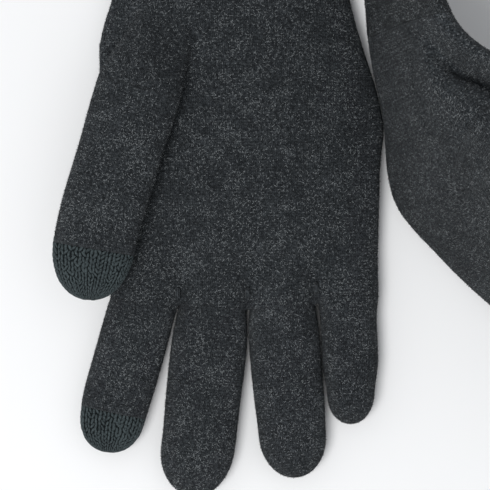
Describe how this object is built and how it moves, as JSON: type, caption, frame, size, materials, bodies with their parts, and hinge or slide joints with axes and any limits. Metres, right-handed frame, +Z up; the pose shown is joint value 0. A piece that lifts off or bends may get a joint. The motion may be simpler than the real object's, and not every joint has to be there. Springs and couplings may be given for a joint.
{
  "type": "touchscreen gloves",
  "caption": "Pair of brushed knit five-finger gloves with ribbed cuffs and smooth conductive knit on the thumb and index fingertips.",
  "frame": {"origin": "middle of the flat back of the right glove, on the surface it lies on", "axes": "+Z up out of the right palm, +Y towards the right cuff, +X from the right glove towards the left glove"},
  "size_m": [0.2646, 0.2597, 0.1277],
  "materials": {
    "brushed_knit": "brushed melange wool knit",
    "rib_knit": "ribbed melange wool knit",
    "conductive_knit": "smooth plain knit with conductive yarn",
    "elastic_yarn": "covered elastic yarn",
    "label_tape": "woven satin tape"
  },
  "bodies": {
    "right_glove": {"right_hand": "brushed_knit", "right_finger_crotches": "brushed_knit", "right_cuff": "rib_knit", "right_cuff_edge": "rib_knit", "right_cuff_elastic": "elastic_yarn", "right_care_label": "label_tape"},
    "right_thumb_stall": {"right_thumb": "brushed_knit", "right_thumb_tip": "conductive_knit"},
    "right_index_stall": {"right_index": "brushed_knit", "right_index_tip": "conductive_knit"},
    "right_middle_stall": {"right_middle": "brushed_knit"},
    "right_ring_stall": {"right_ring": "brushed_knit"},
    "right_little_stall": {"right_little": "brushed_knit"},
    "left_glove": {"left_hand": "brushed_knit", "left_finger_crotches": "brushed_knit", "left_cuff": "rib_knit", "left_cuff_edge": "rib_knit", "left_cuff_elastic": "elastic_yarn", "left_care_label": "label_tape"},
    "left_thumb_stall": {"left_thumb": "brushed_knit", "left_thumb_tip": "conductive_knit"},
    "left_index_stall": {"left_index": "brushed_knit", "left_index_tip": "conductive_knit"},
    "left_middle_stall": {"left_middle": "brushed_knit"},
    "left_ring_stall": {"left_ring": "brushed_knit"},
    "left_little_stall": {"left_little": "brushed_knit"}
  },
  "joints": [
    {"name": "right_index_curl", "type": "hinge", "parent": "right_glove", "child": "right_index_stall", "pos_m": [-0.0383, -0.04, 0.013], "axis": [-0.9636, 0.2672, 0], "range_deg": [0, 80]},
    {"name": "right_middle_curl", "type": "hinge", "parent": "right_glove", "child": "right_middle_stall", "pos_m": [-0.0118, -0.04, 0.013], "axis": [-0.994, 0.1097, 0], "range_deg": [0, 80]},
    {"name": "right_ring_curl", "type": "hinge", "parent": "right_glove", "child": "right_ring_stall", "pos_m": [0.0137, -0.04, 0.013], "axis": [-0.9965, -0.0837, 0], "range_deg": [0, 80]},
    {"name": "right_little_curl", "type": "hinge", "parent": "right_glove", "child": "right_little_stall", "pos_m": [0.0382, -0.036, 0.013], "axis": [-0.9997, -0.0262, 0], "range_deg": [0, 80]},
    {"name": "right_thumb_lift", "type": "hinge", "parent": "right_glove", "child": "right_thumb_stall", "pos_m": [-0.039, 0.04, 0.028], "axis": [-0.9588, 0.284, 0], "range_deg": [0, 65]},
    {"name": "left_index_curl", "type": "hinge", "parent": "left_glove", "child": "left_index_stall", "pos_m": [0.14501, -0.02676, 0.07952], "axis": [-0.1921, -0.57, -0.7989], "range_deg": [0, 80]},
    {"name": "left_middle_curl", "type": "hinge", "parent": "left_glove", "child": "left_middle_stall", "pos_m": [0.13453, -0.03724, 0.05755], "axis": [-0.3154, -0.4706, -0.824], "range_deg": [0, 80]},
    {"name": "left_ring_curl", "type": "hinge", "parent": "left_glove", "child": "left_ring_stall", "pos_m": [0.12445, -0.04732, 0.03641], "axis": [-0.4532, -0.3349, -0.8261], "range_deg": [0, 80]},
    {"name": "left_little_curl", "type": "hinge", "parent": "left_glove", "child": "left_little_stall", "pos_m": [0.11193, -0.05418, 0.0161], "axis": [-0.4138, -0.3768, -0.8288], "range_deg": [0, 80]},
    {"name": "left_thumb_lift", "type": "hinge", "parent": "left_glove", "child": "left_thumb_stall", "pos_m": [0.07462, 0.01599, 0.08631], "axis": [-0.1783, -0.58, -0.7949], "range_deg": [-28, 35]},
    {"name": "pair_lift", "type": "slide", "parent": "right_glove", "child": "left_glove", "axis": [0, 0, 1], "range_m": [0, 0.12]}
  ]
}
